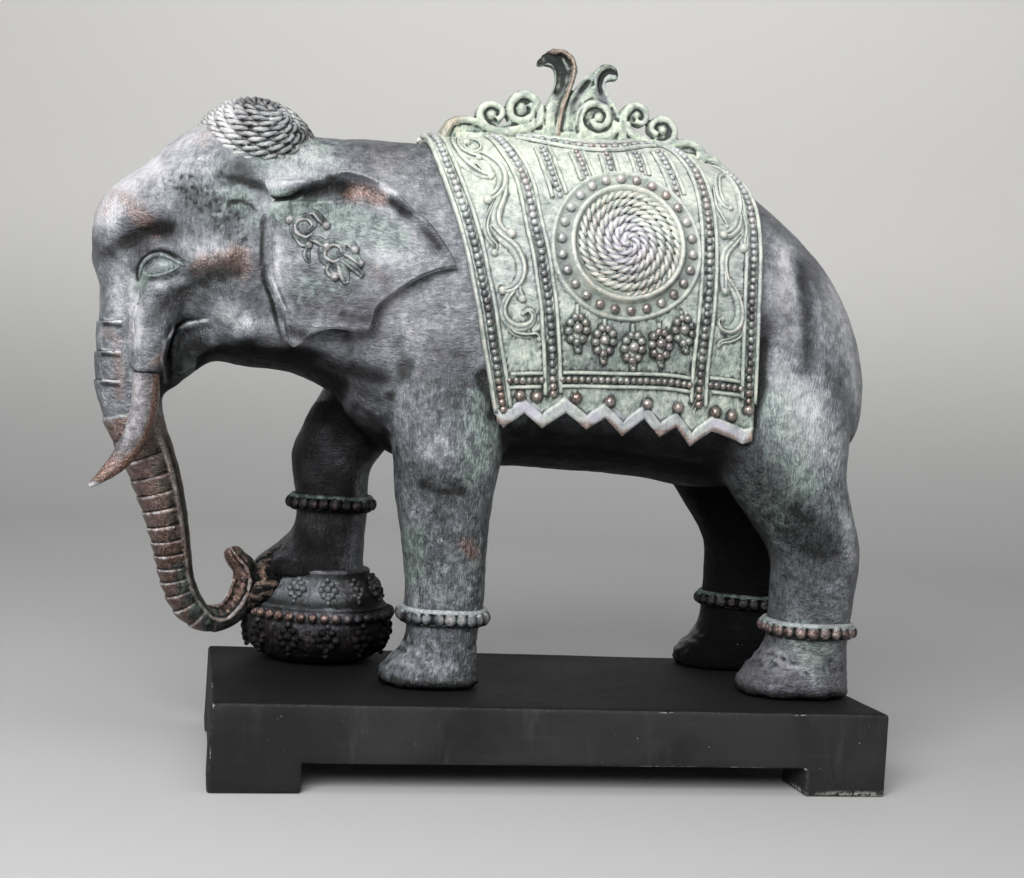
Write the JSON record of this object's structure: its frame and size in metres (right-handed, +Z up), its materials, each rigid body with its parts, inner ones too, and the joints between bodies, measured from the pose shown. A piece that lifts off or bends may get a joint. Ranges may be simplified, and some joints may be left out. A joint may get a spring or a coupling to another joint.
{
  "type": "elephant statue",
  "caption": "Standing elephant ornament in patinated resin with a draped saddle cloth, crest and raised forefoot on a ball, on a low rectangular plinth.",
  "frame": {"origin": "centre of the whole statue's bounding box in plan, level with the undersides of the plinth's feet", "axes": "the elephant faces -X, its left side is towards -Y, +Z is up"},
  "size_m": [0.5254, 0.2114, 0.4829],
  "materials": {
    "patinated_resin": "slate grey bronze-effect paint with verdigris in the hollows, satin",
    "tusk_resin": "coppery brown bronze-effect paint, satin",
    "verdigris_resin": "pale green verdigris wash over dark paint, matte",
    "black_lacquer": "black paint, satin, chipped at the edges"
  },
  "bodies": {
    "root": {"elephant": "patinated_resin", "left_tusk": "tusk_resin", "right_tusk": "tusk_resin", "plinth": "black_lacquer"}
  },
  "joints": []
}
